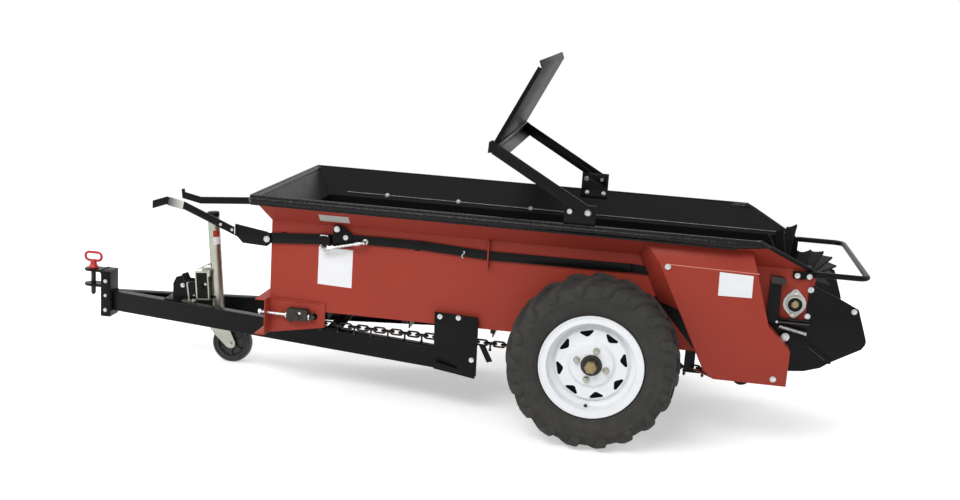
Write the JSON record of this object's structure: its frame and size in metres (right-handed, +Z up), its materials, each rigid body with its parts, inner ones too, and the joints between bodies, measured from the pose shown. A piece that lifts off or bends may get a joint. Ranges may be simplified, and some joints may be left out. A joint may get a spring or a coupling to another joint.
{
  "type": "manure spreader",
  "caption": "Towed ground-drive manure spreader: flared steel box with apron floor and rear paddle beater, on lug tyres, with an A-frame tongue, clevis hitch and caster jack.",
  "frame": {"origin": "bottom centre of the bounding box: on the ground, midway between the clevis tips' handle and the rear guard plates", "axes": "+X forward to the hitch, +Y to the machine's left, +Z up"},
  "size_m": [2.909, 1.106, 1.2587],
  "materials": {
    "red_paint": "gloss paint",
    "black_paint": "satin paint",
    "black_poly": "smooth sheet",
    "zinc_steel": "zinc plated",
    "dark_iron": "as cast",
    "tyre_rubber": "moulded",
    "white_paint": "gloss paint",
    "caster_black": "moulded"
  },
  "bodies": {
    "chassis": {"left_side_wall": "red_paint", "right_side_wall": "red_paint", "front_wall": "red_paint", "poly_liner": "black_poly", "rim_rails": "black_paint", "front_rim_rail": "black_paint", "floor_board": "black_poly", "floor_bearers": "black_paint", "left_tongue_beam": "black_paint", "right_tongue_beam": "black_paint", "frame_brackets": "black_paint", "front_cross_channel": "red_paint", "cheek_plates": "red_paint", "hitch_post": "black_paint", "hitch_clevis": "black_paint", "axle": "black_paint", "axle_hangers": "black_paint", "front_idler_shaft": "zinc_steel", "rear_drive_shaft": "zinc_steel", "apron_chains": "dark_iron", "apron_slats": "black_paint", "chain_tensioners": "zinc_steel", "left_drive_cover": "red_paint", "right_drive_cover": "red_paint", "beater_bearings": "dark_iron", "rear_pan": "black_paint", "rear_guard_plates": "black_paint", "guard_bar": "black_paint", "guard_bar_arms": "black_paint", "control_straps": "black_paint", "left_control_lever": "black_paint", "right_control_lever": "black_paint", "shield_mounts": "black_paint", "jack_mount": "zinc_steel"},
    "left_wheel": {"left_tyre": "tyre_rubber", "left_wheel_rim": "white_paint", "left_wheel_hub": "white_paint"},
    "right_wheel": {"right_tyre": "tyre_rubber", "right_wheel_rim": "white_paint", "right_wheel_hub": "white_paint"},
    "beater": {"beater_shaft": "black_paint", "beater_blades": "black_paint"},
    "top_shield": {"shield_arms": "black_paint", "shield_cross_angle": "black_paint", "shield_panel": "black_paint"},
    "drawbar_pin": {"hitch_pin": "zinc_steel"},
    "jack_outer": {"jack_tube": "zinc_steel"},
    "jack_inner": {"jack_inner_tube": "zinc_steel"},
    "jack_fork": {"caster_fork": "zinc_steel"},
    "jack_wheel": {"caster_wheel": "caster_black"}
  },
  "joints": [
    {"name": "left_wheel_spin", "type": "hinge", "parent": "chassis", "child": "left_wheel", "pos_m": [-0.5665, 0.445, 0.29], "axis": [0, 1, 0], "continuous": true},
    {"name": "right_wheel_spin", "type": "hinge", "parent": "chassis", "child": "right_wheel", "pos_m": [-0.5665, -0.445, 0.29], "axis": [0, 1, 0], "continuous": true},
    {"name": "beater_spin", "type": "hinge", "parent": "chassis", "child": "beater", "pos_m": [-1.2105, 0, 0.52], "axis": [0, 1, 0], "continuous": true},
    {"name": "shield_swing", "type": "hinge", "parent": "chassis", "child": "top_shield", "pos_m": [-0.5095, 0, 0.777], "axis": [0, -1, 0], "range_deg": [0, 110]},
    {"name": "pin_pull", "type": "slide", "parent": "chassis", "child": "drawbar_pin", "axis": [0, 0, 1], "range_m": [0, 0.115]},
    {"name": "jack_swing", "type": "hinge", "parent": "chassis", "child": "jack_outer", "pos_m": [0.9585, 0, 0.293], "axis": [0, 1, 0], "range_deg": [0, 90]},
    {"name": "jack_extend", "type": "slide", "parent": "jack_outer", "child": "jack_inner", "axis": [0.0819, 0, 0.9966], "range_m": [-0.045, 0.03]},
    {"name": "caster_swivel", "type": "hinge", "parent": "jack_inner", "child": "jack_fork", "pos_m": [0.9025, 0, 0.209], "axis": [0.0819, 0, 0.9966], "continuous": true},
    {"name": "caster_spin", "type": "hinge", "parent": "jack_fork", "child": "jack_wheel", "pos_m": [0.84241, 0, 0.07608], "axis": [0, 1, 0], "continuous": true}
  ]
}
